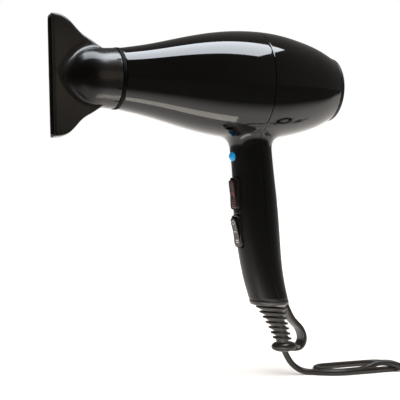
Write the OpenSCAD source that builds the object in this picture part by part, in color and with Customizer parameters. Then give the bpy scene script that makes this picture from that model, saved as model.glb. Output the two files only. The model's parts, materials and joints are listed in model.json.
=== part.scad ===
// Hair dryer with a concentrator nozzle, a pistol grip, rocker switches and its mains lead.
// +Z is up, the nozzle points along -X, and the origin is the middle of the grip.
// All sizes are in millimetres.

/* [Barrel] */
// Height of the barrel's axis above the middle of the grip
barrel_z = 124; // [122:0.5:126]
// Radius of the barrel where it is widest
barrel_r = 44.4; // [44:0.1:46]
// Distance from the middle of the grip forward to the barrel's front edge
barrel_front = 124; // [122:0.5:126]
// Distance from the middle of the grip back to the barrel's rear edge
barrel_rear = 66; // [65:0.5:68]
// Radius of the barrel at its front edge
front_r = 23.8; // [23.6:0.1:25]
// Radius of the barrel at its rear edge
rear_r = 27.4; // [27.2:0.1:28]
// Thickness of the housings' walls
wall = 2.2; // [2:0.1:2.3]

/* [Grip] */
// Half the width of the grip, from side to side
grip_half_w = 16; // [15.5:0.1:17]
// Height of the grip's lower edge
grip_bottom = -54; // [-56:0.5:-53]

/* [Nozzle] */
// Height of the slot's outer edges
slot_h = 95; // [90:1:98]
// Thickness of the slot's outer edges
slot_t = 13; // [12:0.5:15]
// Distance from the middle of the grip forward to the slot's face
slot_front = 177; // [175:1:180]
// Turn of the nozzle about the barrel's axis, in degrees
nozzle_turn = -5; // [-15:1:15]
// Wall of the nozzle
nozzle_wall = 1.8; // [1.6:0.1:2]

/* [Controls] */
// Length of a rocker switch's bezel
bezel_l = 26.4; // [26:0.1:27]
// Width of a rocker switch's bezel
bezel_w = 13; // [12.8:0.1:13.4]
// Tilt of a rocker each way, in degrees
rocker_tilt = 6; // [4:1:8]
// Radius of the cool shot button
button_r = 3.75; // [3.5:0.05:4]
// Travel of the cool shot button
button_travel = 2.5; // [1.5:0.1:2.5]

/* [Lead] */
// Diameter of the mains lead
lead_d = 5; // [4.8:0.1:5.2]
// Height of the surface that the lead lies on
floor_z = -119; // [-120:0.5:-118.5]
// Radius of the plug's pins
pin_r = 2.4; // [2:0.05:2.5]
// Distance between the plug's pins
pin_gap = 19; // [18:0.5:20]

/* [Hidden] */
$fn = 72;
slop = 0.1; // how far a cutter runs past the face it cuts

// Barrel outline, as [x, radius] from front to rear
front_x = -barrel_front;
rear_x = barrel_rear;
barrel_line = [[front_x, front_r], [front_x + 24, 0.637 * barrel_r],
    [front_x + 54, 0.804 * barrel_r], [front_x + 84, 0.944 * barrel_r], [-12, barrel_r],
    [12, 0.977 * barrel_r], [35, 0.878 * barrel_r], [rear_x - 12, 0.743 * barrel_r], [rear_x, rear_r]];
barrel_steps = 3; // straight pieces in each span of the outline
barrel_sides = 64;

// Grip centreline, half depth and seam, each as [z, value] from the bottom up
grip_line = [[grip_bottom, 10.9], [-39, 6.6], [-18, 2.7], [19, -1.4], [57, -4.6], [77, -6.6], [100, -7]];
grip_depth = [[grip_bottom, 15.9], [-18, 17.6], [19, 18.75], [52, 17.3], [77, 17.3], [100, 17.3]];
seam_x = -6; // the plane that parts the barrel's two housings
seam_line = [[-70, 17], [grip_bottom, 11.9], [-39, 7.6], [-18, 3.7], [19, -0.4], [57, -3.6], [79, seam_x]];
seam_gap = 0.05; // half the gap between the two housings
grip_power = 2.2; // 2 is an ellipse, more is squarer
grip_sides = 40;
root_z = 70; // where the grip starts to flare into the barrel
root_h = 13; // height of the flare
root_flare = 9; // width of the flare
grip_levels = [grip_bottom, -46, -36, -24, -10, 5, 20, 36, 52, 64, 70, 75, 79, 81.5, 83, 92, 100];

// Outlet neck and nozzle
neck_r = 20.6;
neck_in = 18.6;
neck_front = -137.6;
collar_x = -127; // rear rim of the nozzle
flare_x = -138; // where the nozzle's round collar ends and its flare starts
collar_in = 21.7;
outlet_flange_t = 2.5; // thickness of the outlet ring's flange, in front of the barrel
// Half height of the nozzle's flat part, and radius of the round part that runs into it, as [x, value]
nozzle_line = [[-slot_front, slot_h / 2], [-171, 0.99 * slot_h / 2], [-164, 0.92 * slot_h / 2],
    [-154, 0.705 * slot_h / 2], [-147, 0.6 * slot_h / 2], [flare_x, 21.5]];
bullet_line = [[-171, 3.5], [-169, 6.5], [-164, 12.4], [-158, 18.2], [-151, 22], [-145, 23.2],
    [flare_x, 22.95]];
nozzle_levels = [-slot_front, -174, -170, -166, -162, -158, -154, -150, -146, -142, -139.3];
nozzle_power = 9; // squareness of the flat part's section
nozzle_sides = 42;

// Rocker switches: middle of the bezel on the grip's front face, and the face's lean in degrees
heat_at = [-20.8, 0, 34.5];
heat_lean = -2;
speed_at = [-18.2, 0, 3.5];
speed_lean = -8;
bezel_t = 1.2;
switch_l = 25;
switch_w = 11.6;
switch_depth = 15;
pocket_l = 24.2;
pocket_w = 10;
pocket_depth = 9;
rocker_w = 9.4;
rocker_r = 11.77; // the rocker's ends are arcs about its pivot
rocker_pivot = 3; // depth of the pivot below the face
rocker_top = -2.5; // the rocker's face, outside the grip's face
bezel_corner = 3.5;
rocker_corner = 2.6;
pivot_r = 1.5;
run_fit = 0.05; // radial clearance of a running fit

// Cool shot button
button_z = 65;
button_face = -22.9;
button_fly = 3; // how far the dome stands out
flange_r = 5.2;

// Screws that hold the two housings together, as [z, front end, head seat]
screw_sites = [[-17.5, -9, 11], [54.5, -16, 4]];
screw_r = 1.6;
screw_head_r = 3;
boss_r = 4.6;

// Strain relief: centreline as [x, z], and rib radii from the collar down
collar_h = 4.2;
plug_up = 3; // how far the strain relief's plug reaches up into the grip
boot_top = grip_bottom - collar_h;
boot_line = [[11.6, -56], [13.6, -61], [15.3, -65.3], [17, -69.6], [18.7, -74], [20.6, -78.3], [22.3, -82.8],
    [23.8, -87], [25.6, -93.8]];
rib_radii = [13.4, 11.9, 10.6, 9.7, 9, 8.5, 8.2];
rib_t = 1.8;
rib_over_core = 2.6;
bead_at = [25.6, 0, -94.2];
bead_half = [11, 9.5, 4.4];
strap_line = [[24, -56], [26.4, -61.4], [28.6, -65.7], [31.2, -70], [35.2, -74.5], [39.6, -79],
    [42, -83.4], [42.9, -87.7], [42, -92], [38.7, -95.4], [33, -96.2], [28, -95.5]];
strap_t = 4;
strap_w = 12;

// Mains lead: its route where it isn't coiled, each point [x, y, z]
lead_r = lead_d / 2;
lie_z = floor_z + lead_r; // height of the lead's centre where it lies
lead_exit = [26.2, 0, -98.6];
inner_route = [[9, 0, -38], [10.2, 0, -46], [12, 0, -56], [15.3, 0, -65.3], [18.7, 0, -74],
    [22.3, 0, -83], [24.6, 0, -92], lead_exit];
drop_route = [lead_exit, [28.6, 0, -103], [31.8, 0, -107.8], [36, 0, -112], [41.5, 0, -115.2],
    [48, 0, lie_z], [54, -1, lie_z]];
run_route = [[101, -17, lie_z], [108, -21, lie_z], [116, -22.6, lie_z], [124, -22.6, lie_z],
    [132, -20.6, lie_z], [140, -16.2, lie_z], [148, -11, lie_z], [156, -6.6, lie_z], [164, -4, lie_z],
    [172, -3, lie_z]];
tail_route = [[172, -3, -101.5], [182, -2.6, -101.5], [192, -0.6, -101.4], [202, 3, -101.2],
    [211, 6.6, -101]];
lead_sides = 10;
hank_mid = [95, 0];
hank_l = 90;
hank_w = 38;
hank_h = 2 * lead_d;
coil_mid = [172, -36];
coil_inner = 20.5;
coil_outer = 35.5;
coil_h = 4 * lead_d;

// Plug: its axis runs along +X, with the pins side by side
plug_at = [226, 10, -101];
plug_half = 18;
plug_l = 24;
pin_l = 19;
pin_tip = 1.5; // length of a pin's tapered tip
pin_root_r = 1.8; // radius of the part of a pin that is inside the plug
root_l = 6;

// Point at t, from 0 to 1, in span i of a smooth curve through the points p
function along(p, i, t) =
    let (a = p[max(i - 1, 0)], b = p[i], c = p[i + 1], d = p[min(i + 2, len(p) - 1)])
    0.5 * (2 * b + (c - a) * t + (2 * a - 5 * b + 4 * c - d) * t * t + (3 * b - a - 3 * c + d) * t * t * t);

// Smooth curve through the points p, with n steps in each span
function curve(p, n) =
    concat([for (i = [0:len(p) - 2]) for (k = [0:n - 1]) along(p, i, k / n)], [p[len(p) - 1]]);

function unit(v) = v / norm(v);

// Cosine or sine drawn out towards a rounded square, for a squareness of n
function squared(c, n) = sign(c) * pow(abs(c), 2 / n);

// Direction of a path at point i
function heading(p, i) = unit(p[min(i + 1, len(p) - 1)] - p[max(i - 1, 0)]);

// Ring about a path's point: a rounded rectangle of half sizes a, across ref and the path, and b, along ref
function ring_at(p, i, ref, a, b, power, n) =
    let (d = heading(p, i), u = unit(cross(ref, d)), v = cross(d, u))
    [for (k = [0:n - 1]) let (t = 360 * k / n)
        p[i] + u * a * squared(cos(t), power) + v * b * squared(sin(t), power)];

// Closed solid through a list of rings, each counter-clockwise about the way the list goes
module skin(rings) {
    n = len(rings[0]);
    last = len(rings) - 1;
    points = [for (ring = rings) for (p = ring) p];
    sides = [for (i = [0:last - 1]) for (j = [0:n - 1]) let (k = (j + 1) % n)
        each [[i * n + j, (i + 1) * n + j, (i + 1) * n + k], [i * n + j, (i + 1) * n + k, i * n + k]]];
    start = [[for (j = [0:n - 1]) j]];
    end = [[for (j = [n - 1:-1:0]) last * n + j]];
    polyhedron(points = points, faces = concat(start, sides, end), convexity = 8);
}

// Round tube of radius r swept along a path
module tube_along(path, ref, r, sides) {
    skin([for (i = [0:len(path) - 1]) ring_at(path, i, ref, r, r, 2, sides)]);
}

// Joins everything inside into one closed mesh
module one_mesh() {
    resize([0, 0, 0]) children();
}

// Puts a child whose axis is Z on the barrel's axis, starting at x
module on_axis(x) {
    translate([x, 0, barrel_z]) rotate([0, 90, 0]) children();
}

// Ring of length h on the barrel's axis, starting at x
module hoop(x, outer, inner, h) {
    on_axis(x) difference() {
        cylinder(r = outer, h = h);
        translate([0, 0, -slop]) cylinder(r = inner, h = h + 2 * slop);
    }
}

// --- Housings ---

function grip_x(z) = lookup(z, curve(grip_line, 6));
function flare(z) = let (t = min(max((z - root_z) / root_h, 0), 1)) root_flare * (1 - sqrt(1 - t * t));
function grip_a(z) = lookup(z, curve(grip_depth, 6)) + flare(z);
function grip_ring(z, inset) =
    [for (k = [0:grip_sides - 1]) let (t = 360 * k / grip_sides)
        [grip_x(z) + (grip_a(z) - inset) * squared(cos(t), grip_power),
            (grip_half_w + flare(z) - inset) * squared(sin(t), grip_power), z]];

// Solid of the barrel and the grip, drawn in by inset
module dryer_solid(inset) {
    line = curve(barrel_line, barrel_steps);
    ends = inset > 0 ? slop : 0;
    outline = concat([[0, line[0][0] - ends]], [[line[0][1] - inset, line[0][0] - ends]],
        [for (p = line) [p[1] - inset, p[0]]],
        [[line[len(line) - 1][1] - inset, rear_x + ends]], [[0, rear_x + ends]]);
    on_axis(0) rotate_extrude($fn = barrel_sides) polygon(outline);
    skin([for (z = grip_levels) [for (p = grip_ring(z, inset)) z == grip_bottom ? p - [0, 0, ends] : p]]);
}

// Everything in front of the seam, or behind it
module seam_side(front) {
    far = 300;
    line = concat(curve(seam_line, 5), [[far, seam_x]]);
    push = front ? -seam_gap : seam_gap;
    edge = front ? -far : far;
    rotate([90, 0, 0]) translate([0, 0, -far]) linear_extrude(2 * far)
        polygon(concat([for (p = line) [p[1] + push, p[0]]], [[edge, far], [edge, line[0][0]]]));
}

module shell_half(front) {
    intersection() {
        difference() {
            dryer_solid(0);
            dryer_solid(wall);
        }
        seam_side(front);
    }
}

// Puts a child on the grip's front face, with its outward side along local -X
module at_face(at, lean) {
    translate(at) rotate([0, lean, 0]) children();
}

module switch_opening() {
    clear = 0.25;
    translate([-6, -switch_w / 2 - clear, -switch_l / 2 - clear])
        cube([14, switch_w + 2 * clear, switch_l + 2 * clear]);
    translate([-6, 0, 0]) rounded_plate(7.6, bezel_w + 2 * clear, bezel_l + 2 * clear, bezel_corner);
}

module front_housing() {
    color([0.03, 0.03, 0.035]) one_mesh() difference() {
        union() {
            shell_half(true);
            for (s = screw_sites) intersection() {
                translate([s[1] - 12, 0, s[0]]) rotate([0, 90, 0])
                    cylinder(r = boss_r - 0.8, h = 16, $fn = 24);
                dryer_solid(wall / 2);
            }
        }
        at_face(heat_at, heat_lean) switch_opening();
        at_face(speed_at, speed_lean) switch_opening();
        translate([button_face - 6, 0, button_z]) rotate([0, 90, 0])
            cylinder(r = button_r + 0.35, h = 12, $fn = 48);
        for (s = screw_sites) translate([s[1] - 1, 0, s[0]]) rotate([0, 90, 0])
            cylinder(r = screw_r + 0.25, h = 20, $fn = 24);
    }
}

module rear_housing() {
    color([0.03, 0.03, 0.035]) one_mesh() difference() {
        union() {
            shell_half(false);
            for (s = screw_sites) intersection() {
                translate([s[1] + 5, 0, s[0]]) rotate([0, 90, 0]) cylinder(r = boss_r, h = 40, $fn = 24);
                dryer_solid(wall / 2);
            }
        }
        for (s = screw_sites) {
            translate([s[1] - 1, 0, s[0]]) rotate([0, 90, 0]) cylinder(r = screw_r + 0.25, h = 40, $fn = 24);
            translate([s[2], 0, s[0]]) rotate([0, 90, 0]) cylinder(r = screw_head_r + 0.4, h = 40, $fn = 24);
        }
    }
}

module housing_screws() {
    color("silver") for (s = screw_sites) translate([s[1], 0, s[0]]) rotate([0, 90, 0]) {
        cylinder(r = screw_r, h = s[2] - s[1] + 0.1);
        translate([0, 0, s[2] - s[1] + 0.1]) difference() {
            cylinder(r = screw_head_r, h = 2.2);
            translate([-0.5, -2, 1.2]) cube([1, 4, 2]);
            translate([-2, -0.5, 1.2]) cube([4, 1, 2]);
        }
    }
}

// --- Air outlet and nozzle ---

module outlet_ring() {
    color([0.05, 0.05, 0.05]) {
        difference() {
            union() {
                on_axis(neck_front) cylinder(r = neck_r, h = front_x - neck_front + 16);
                on_axis(front_x - 0.6) cylinder(r = front_r - wall - 0.35, h = 14);
                on_axis(front_x - seam_gap - outlet_flange_t)
                    cylinder(r = front_r + 0.4, h = outlet_flange_t);
            }
            on_axis(neck_front - slop) cylinder(r = neck_in, h = 60);
        }
    }
}

module outlet_grille() {
    color([0.07, 0.07, 0.07]) {
        for (r = [6, 10.4, 14.8]) hoop(-119, r, r - 1.2, 3);
        hoop(-119, neck_in - 0.1, neck_in - 1.3, 3);
        on_axis(-119) cylinder(r = 2.2, h = 3);
        on_axis(-119) for (k = [0:5]) rotate([0, 0, 30 + 60 * k])
            translate([1.5, -0.6, 0.3]) cube([16.4, 1.2, 2.4]);
    }
}

function nozzle_ring(x, inset) =
    let (h = lookup(x, curve(nozzle_line, 6)))
    [for (k = [0:nozzle_sides - 1]) let (a = 360 * k / nozzle_sides)
        [x, (slot_t / 2 - inset) * squared(cos(a), nozzle_power),
            (h - inset) * squared(sin(a), nozzle_power)]];

// Flat part and round part of the nozzle, drawn in by inset
module nozzle_solid(inset) {
    ends = inset > 0 ? slop : 0;
    skin([for (x = nozzle_levels) [for (p = nozzle_ring(x, inset))
        p - [x == -slot_front ? ends : 0, 0, 0]]]);
    line = [for (p = curve(bullet_line, 2)) [max(p[1] - inset, 1), p[0]]];
    rear = [[line[len(line) - 1][0], flare_x + ends], [0, flare_x + ends]];
    rotate([0, 90, 0]) rotate_extrude($fn = 50) polygon(concat([[0, line[0][1]]], line, rear));
}

module concentrator_nozzle() {
    color([0.09, 0.08, 0.08]) translate([0, 0, barrel_z]) rotate([nozzle_turn, 0, 0]) {
        one_mesh() difference() {
            nozzle_solid(0);
            nozzle_solid(nozzle_wall);
        }
        translate([flare_x, 0, 0]) rotate([0, 90, 0]) difference() {
            cylinder(r1 = 22.95, r2 = 23.8, h = collar_x - flare_x);
            translate([0, 0, -slop]) cylinder(r = collar_in, h = 12);
        }
    }
}

module nozzle_snap_ring() {
    color("silver") hoop(-134, collar_in - run_fit, neck_r + run_fit, 2.4);
}

// --- Air intake ---

dome_rise = 4.6;
cap_r = 26.8;
function dome(r) = dome_rise * (1 - pow(r / cap_r, 2));

module rear_grille() {
    spoke_t = 1.5;
    spokes = 10;
    color([0.05, 0.05, 0.055]) {
        on_axis(rear_x + 0.2) difference() {
            cylinder(r = cap_r, h = 2.4);
            translate([0, 0, -slop]) cylinder(r = 22.6, h = 3);
        }
        hoop(rear_x - 11, 24.6, 22.6, 11.3);
        for (r = [5.2, 9.6, 14, 18.4]) hoop(rear_x + 0.2 + dome(r) - 0.2, r, r - 1.7, 2.2);
        on_axis(rear_x + 0.2 + dome(0) - 0.4) cylinder(r = 2, h = 2.2);
        on_axis(rear_x + 0.2) for (k = [0:spokes - 1]) rotate([0, 0, 360 * k / spokes])
            rotate([90, 0, 0]) translate([0, 0, -spoke_t / 2]) linear_extrude(spoke_t)
                polygon(concat([for (r = [1:3:22]) [r, dome(r) + 0.1]], [[22.8, 0.6], [22.8, 2]],
                    [for (r = [22:-3:1]) [r, dome(r) + 1.7]]));
    }
}

module filter_mesh() {
    color("silver") {
        on_axis(rear_x - 8) cylinder(r = 21.8, h = 0.5);
        hoop(rear_x - 8.6, 22.4, 21.4, 1.8);
    }
}

// --- Heater ---

sleeve_r = 24;
heater_front = -106;
heater_rear = -38;
element_x = [-98, -86, -74, -62, -50];
element_r = 19.5;
element_wire = 1.5;
board_t = 0.8;

module mica_sleeve() {
    color([0.75, 0.68, 0.5]) hoop(heater_front, sleeve_r, sleeve_r - 0.6, heater_rear - heater_front);
}

module mica_boards() {
    half = sleeve_r - 1;
    length = heater_rear - heater_front + 4;
    color([0.8, 0.72, 0.55]) difference() {
        on_axis(heater_front + 1) for (a = [45, 135]) rotate([0, 0, a])
            translate([-half, -board_t / 2, 0]) cube([2 * half, board_t, length]);
        for (x = element_x) on_axis(x) rotate_extrude()
            translate([element_r, 0]) circle(r = element_wire + 0.2);
    }
}

module heating_coils() {
    color([0.55, 0.5, 0.45]) for (x = element_x) on_axis(x) rotate_extrude()
        translate([element_r, 0]) circle(r = element_wire);
}

module thermal_cutout() {
    color([0.85, 0.83, 0.78]) on_axis(-58) rotate([0, 0, 45])
        translate([4, board_t / 2 + 0.05, 0]) cube([8, 4.5, 12]);
}

module thermal_fuse() {
    color("silver") on_axis(-86) rotate([0, 0, 45]) translate([8, board_t / 2 + 2.2, 0]) {
        cylinder(r = 2, h = 10);
        translate([0, 0, -4]) cylinder(r = 0.5, h = 18);
    }
}

// --- Motor and fan ---

motor_x = -20;
motor_l = 34;
motor_r = 14;
shaft_r = 1.6;
bearing_r = 4;
fan_x = 20;
fan_h = 15;
fan_r = 31.5;
hub_r = 8.5;

module motor_body() {
    color([0.55, 0.55, 0.58]) difference() {
        on_axis(motor_x) cylinder(r = motor_r, h = motor_l);
        on_axis(motor_x - slop) cylinder(r = bearing_r + 0.05, h = 4 + slop);
        on_axis(motor_x + motor_l - 4) cylinder(r = bearing_r + 0.05, h = 5);
        on_axis(motor_x - slop) cylinder(r = shaft_r + 0.6, h = motor_l + 1);
    }
}

module motor_bearings() {
    color([0.72, 0.5, 0.25]) for (x = [motor_x, motor_x + motor_l - 4])
        hoop(x, bearing_r, shaft_r + run_fit, 4);
}

module motor_shaft() {
    color("silver") on_axis(motor_x - 2) cylinder(r = shaft_r, h = fan_x + fan_h - 1 - motor_x);
}

module fan() {
    blades = 9;
    color([0.2, 0.2, 0.2]) {
        on_axis(fan_x) difference() {
            cylinder(r = hub_r, h = fan_h);
            translate([0, 0, -slop]) cylinder(r = shaft_r, h = fan_h - 1);
        }
        intersection() {
            hoop(fan_x, fan_r, hub_r - 0.8, fan_h);
            on_axis(fan_x + fan_h / 2) for (k = [0:blades - 1]) rotate([0, 0, 360 * k / blades])
                rotate([38, 0, 0]) translate([hub_r - 0.6, -0.6, -10]) cube([fan_r, 1.2, 20]);
        }
    }
}

module fan_shroud() {
    vanes = 7;
    cup_r = motor_r + 0.1;
    shroud_in = 32.6;
    color([0.15, 0.15, 0.16]) {
        hoop(-4, 34.4, shroud_in, 43);
        hoop(-4, cup_r + 1.6, cup_r, 16);
        on_axis(-4) for (k = [0:vanes - 1]) rotate([0, 0, 360 * k / vanes])
            translate([cup_r + 1, -0.8, 0]) cube([shroud_in - cup_r - 0.5, 1.6, 14]);
    }
}

// --- Switches ---

// Plate of thickness t, w wide along Y and l long along Z, with corners of radius r
module rounded_plate(t, w, l, r) {
    for (y = [-1, 1], z = [-1, 1]) translate([0, y * (w / 2 - r), z * (l / 2 - r)])
        rotate([0, 90, 0]) cylinder(r = r, h = t);
    translate([0, -w / 2, r - l / 2]) cube([t, w, l - 2 * r]);
    translate([0, r - w / 2, -l / 2]) cube([t, w - 2 * r, l]);
}

module switch_body() {
    difference() {
        union() {
            translate([-bezel_t, 0, 0]) rounded_plate(bezel_t + 1.2, bezel_w, bezel_l, bezel_corner);
            translate([0, -switch_w / 2, -switch_l / 2]) cube([switch_depth, switch_w, switch_l]);
        }
        translate([-bezel_t - slop, 0, 0])
            rounded_plate(pocket_depth + bezel_t + slop, pocket_w, pocket_l, rocker_corner);
        translate([rocker_pivot, switch_w / 2 + slop, 0]) rotate([90, 0, 0])
            cylinder(r = pivot_r + run_fit, h = switch_w + 2 * slop);
    }
}

// Rocker tipped about its pivot, so that its upper end stands out
module rocker() {
    translate([rocker_pivot, 0, 0]) rotate([0, -rocker_tilt, 0]) translate([-rocker_pivot, 0, 0]) {
        intersection() {
            rotate([90, 0, 0]) translate([0, 0, -rocker_w / 2]) linear_extrude(rocker_w) intersection() {
                translate([rocker_pivot, 0]) circle(r = rocker_r);
                polygon([[rocker_top - 0.5, 14], [rocker_top + 0.5, 0], [rocker_top - 0.5, -14],
                    [5, -14], [5, 14]]);
            }
            translate([-8, 0, 0]) rounded_plate(20, rocker_w, 2 * rocker_r, rocker_corner);
        }
        translate([rocker_pivot, switch_w / 2 - 0.1, 0]) rotate([90, 0, 0])
            cylinder(r = pivot_r, h = switch_w - 0.2);
    }
}

module heat_switch_body() {
    color([0.1, 0.1, 0.1]) at_face(heat_at, heat_lean) switch_body();
}

module speed_switch_body() {
    color([0.1, 0.1, 0.1]) at_face(speed_at, speed_lean) switch_body();
}

module heat_rocker() {
    color([0.2, 0.04, 0.04]) at_face(heat_at, heat_lean) rocker();
}

module speed_rocker() {
    color([0.05, 0.05, 0.05]) at_face(speed_at, speed_lean) rocker();
}

module terminals() {
    for (z = [-8, 0, 8]) translate([switch_depth + 0.05, -2.4, z - 0.4]) cube([6, 4.8, 0.8]);
}

module switch_terminals() {
    color([0.8, 0.65, 0.3]) {
        at_face(heat_at, heat_lean) terminals();
        at_face(speed_at, speed_lean) terminals();
    }
}

// --- Cool shot button ---

module cool_shot_button() {
    sphere_r = (button_r * button_r + 2.2 * 2.2) / (2 * 2.2);
    color([0.1, 0.5, 0.85]) translate([button_face, 0, button_z]) rotate([0, 90, 0]) {
        translate([0, 0, -0.8]) cylinder(r = button_r, h = 4.4);
        intersection() {
            translate([0, 0, -button_fly + sphere_r]) sphere(r = sphere_r);
            translate([0, 0, -button_fly]) cylinder(r = button_r, h = 2.6);
        }
        translate([0, 0, 3.5]) cylinder(r = flange_r, h = 1.2);
        translate([0, 0, 4.6]) cylinder(r = 1.5, h = 3);
    }
}

module cool_shot_spring() {
    turns = 4;
    color("silver") translate([button_face + 4.9, 0, button_z]) rotate([0, 90, 0])
        for (k = [0:turns - 1]) translate([0, 0, 0.45 + 1.1 * k]) rotate_extrude($fn = 32)
            translate([2.7, 0]) circle(r = 0.35, $fn = 16);
}

module cool_shot_switch() {
    color([0.12, 0.12, 0.12]) translate([button_face + 9.8, 0, button_z]) difference() {
        translate([0, -5.5, -4.5]) cube([9, 11, 9]);
        translate([-slop, 0, 0]) rotate([0, 90, 0]) cylinder(r = 2, h = 4);
    }
}

// --- Wiring inside the grip ---

module terminal_block() {
    color([0.85, 0.85, 0.82]) difference() {
        translate([-2, -9.5, -36]) cube([8, 19, 11]);
        for (y = [-6, 0, 6]) translate([2, y, -37]) cylinder(r = 1.6, h = 13);
    }
}

module capacitor() {
    color([0.75, 0.6, 0.15]) translate([11, -7, -35]) cube([5.5, 14, 10]);
}

wire_r = 0.9;
wire_spread = 6; // sideways place of a wire where it reaches the heater

module lead_wires() {
    for (side = [-1, 1]) {
        y = 8 * side;
        path = concat([for (z = [-24:10:76]) [grip_x(z) + 4, y, z]],
            [[-5, y, 86], [-9, y, 93], [-16, y, 98]],
            [[-24, wire_spread * side, 101], [-34, wire_spread * side, 108]]);
        color(side > 0 ? [0.35, 0.2, 0.1] : [0.1, 0.2, 0.6]) tube_along(path, [0, 1, 0], wire_r, 8);
    }
}

clamp_z = -46.5;
clamp_at = [10.4, 0, clamp_z];
clamp_y = 7; // sideways place of a clamp screw

module cord_clamp_base() {
    color([0.1, 0.1, 0.1]) difference() {
        translate(clamp_at + [-7.4, -10.5, -3.5]) cube([4.2, 21, 7]);
        for (y = [-clamp_y, clamp_y]) translate(clamp_at + [-7.6, y, 0]) rotate([0, 90, 0])
            cylinder(r = screw_r + 0.1, h = 6);
    }
}

module cord_clamp_bar() {
    color([0.1, 0.1, 0.1]) difference() {
        translate(clamp_at + [3, -10.5, -3.5]) cube([3.2, 21, 7]);
        for (y = [-clamp_y, clamp_y]) translate(clamp_at + [2.8, y, 0]) rotate([0, 90, 0])
            cylinder(r = screw_r + 0.1, h = 6);
    }
}

module clamp_screws() {
    color("silver") for (y = [-clamp_y, clamp_y]) translate(clamp_at + [-7, y, 0]) rotate([0, 90, 0]) {
        cylinder(r = screw_r, h = 13.3);
        translate([0, 0, 13.25]) cylinder(r = 2.8, h = 1.6);
    }
}

// --- Strain relief ---

function upright(p) = [for (q = p) [q[0], 0, q[1]]];

// Level oval ring, clockwise from above because the list of rings goes down
function level_ring(x, z, a, b, power, n) =
    [for (k = [0:n - 1]) let (t = -360 * k / n)
        [x + a * squared(cos(t), power), b * squared(sin(t), power), z]];

module collar() {
    a = grip_a(grip_bottom);
    x = grip_x(grip_bottom);
    skin([level_ring(x, grip_bottom - 0.15, a + 0.3, grip_half_w + 0.3, grip_power, 40),
        level_ring(x + 0.5, grip_bottom - 2.2, a + 0.2, grip_half_w + 0.1, grip_power, 40),
        level_ring(x + 1.2, boot_top, a - 0.6, grip_half_w - 1.4, grip_power, 40)]);
    half_w = grip_half_w - wall;
    skin([level_ring(x - 0.8, grip_bottom + plug_up, a - wall - 1.6, half_w - 1.2, grip_power, 32),
        level_ring(x, grip_bottom - 1, a - wall - 0.8, half_w - 0.8, grip_power, 32)]);
}

module ribbed_neck() {
    core = [for (i = [0:len(boot_line) - 1])
        let (r = i == 0 ? 13 : rib_radii[min(i - 1, len(rib_radii) - 1)] - rib_over_core)
        level_ring(boot_line[i][0], boot_line[i][1], r, 0.95 * r, 2, 28)];
    skin(core);
    for (i = [0:len(rib_radii) - 1]) {
        p = boot_line[i + 1];
        r = rib_radii[i];
        lean = 0.08; // how far a rib's plane drops for each millimetre backward
        rings = [for (s = [[rib_t / 2, 0.5], [0.3, 0], [-0.3, 0], [-rib_t / 2, 0.5]])
            [for (q = level_ring(p[0], p[1] + s[0], r - s[1], 0.95 * r - s[1], 2, 28))
                q - [0, 0, lean * (q[0] - p[0])]]];
        skin(rings);
    }
}

module bead() {
    skin([for (k = [1:9]) let (t = 90 - 18 * k, c = cos(t + 0.001))
        level_ring(bead_at[0], bead_at[2] + bead_half[2] * sin(t), bead_half[0] * pow(c, 0.7),
            bead_half[1] * pow(c, 0.7), 2, 28)]);
}

module strap() {
    line = upright(curve(strap_line, 3));
    skin([for (i = [0:len(line) - 1]) ring_at(line, i, [0, 1, 0], strap_t / 2, strap_w / 2, 4, 16)]);
}

module strain_relief() {
    bore = concat(curve(inner_route, 2), [lead_exit + [2, 0, -4]]);
    color([0.13, 0.12, 0.11]) one_mesh() difference() {
        union() {
            collar();
            ribbed_neck();
            bead();
            strap();
        }
        tube_along(bore, [0, 1, 0], lead_r + 0.25, 16);
    }
}

// --- Mains lead ---

module cord_lead() {
    color([0.12, 0.11, 0.1]) tube_along(curve(inner_route, 2), [0, 1, 0], lead_r, lead_sides);
}

module cord_drop() {
    color([0.12, 0.11, 0.1]) tube_along(curve(drop_route, 2), [0, 1, 0], lead_r, lead_sides);
}

module cord_hank() {
    half = (hank_l - hank_w) / 2;
    color([0.17, 0.15, 0.13]) translate([hank_mid[0], hank_mid[1], floor_z]) {
        for (s = [-1, 1]) translate([s * half, 0, 0]) cylinder(r = hank_w / 2, h = hank_h);
        translate([-half, -hank_w / 2, 0]) cube([2 * half, hank_w, hank_h]);
    }
}

module cord_run() {
    color([0.12, 0.11, 0.1]) {
        tube_along(curve(run_route, 1), [0, 0, 1], lead_r, lead_sides);
        tube_along(curve(tail_route, 1), [0, 0, 1], lead_r, lead_sides);
    }
}

module cord_coil() {
    color([0.17, 0.15, 0.13]) translate([coil_mid[0], coil_mid[1], floor_z]) rotate_extrude()
        translate([coil_inner, 0]) square([coil_outer - coil_inner, coil_h]);
}

module coil_tie() {
    t = 1;
    w = 7;
    gap = 0.1;
    thick = coil_outer - coil_inner;
    corner = [coil_mid[0] - w / 2, coil_mid[1] - coil_outer - t, floor_z];
    color([0.05, 0.05, 0.05]) translate(corner) difference() {
        cube([w, thick + 2 * t, coil_h + t + gap]);
        translate([-slop, t - gap, -slop]) cube([w + 2 * slop, thick + 2 * gap, coil_h + gap + slop]);
    }
}

// --- Plug ---

module along_plug(x) {
    translate(plug_at + [x, 0, 0]) rotate([0, 90, 0]) children();
}

module plug_boot() {
    color([0.06, 0.06, 0.06]) along_plug(-22) difference() {
        union() {
            cylinder(r1 = 4, r2 = 7.5, h = 22);
            for (z = [4, 9, 14]) translate([0, 0, z]) cylinder(r = 5.6 + 0.14 * z, h = 1.8);
        }
        translate([0, 0, -slop]) cylinder(r = lead_r + 0.1, h = 8);
    }
}

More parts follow.
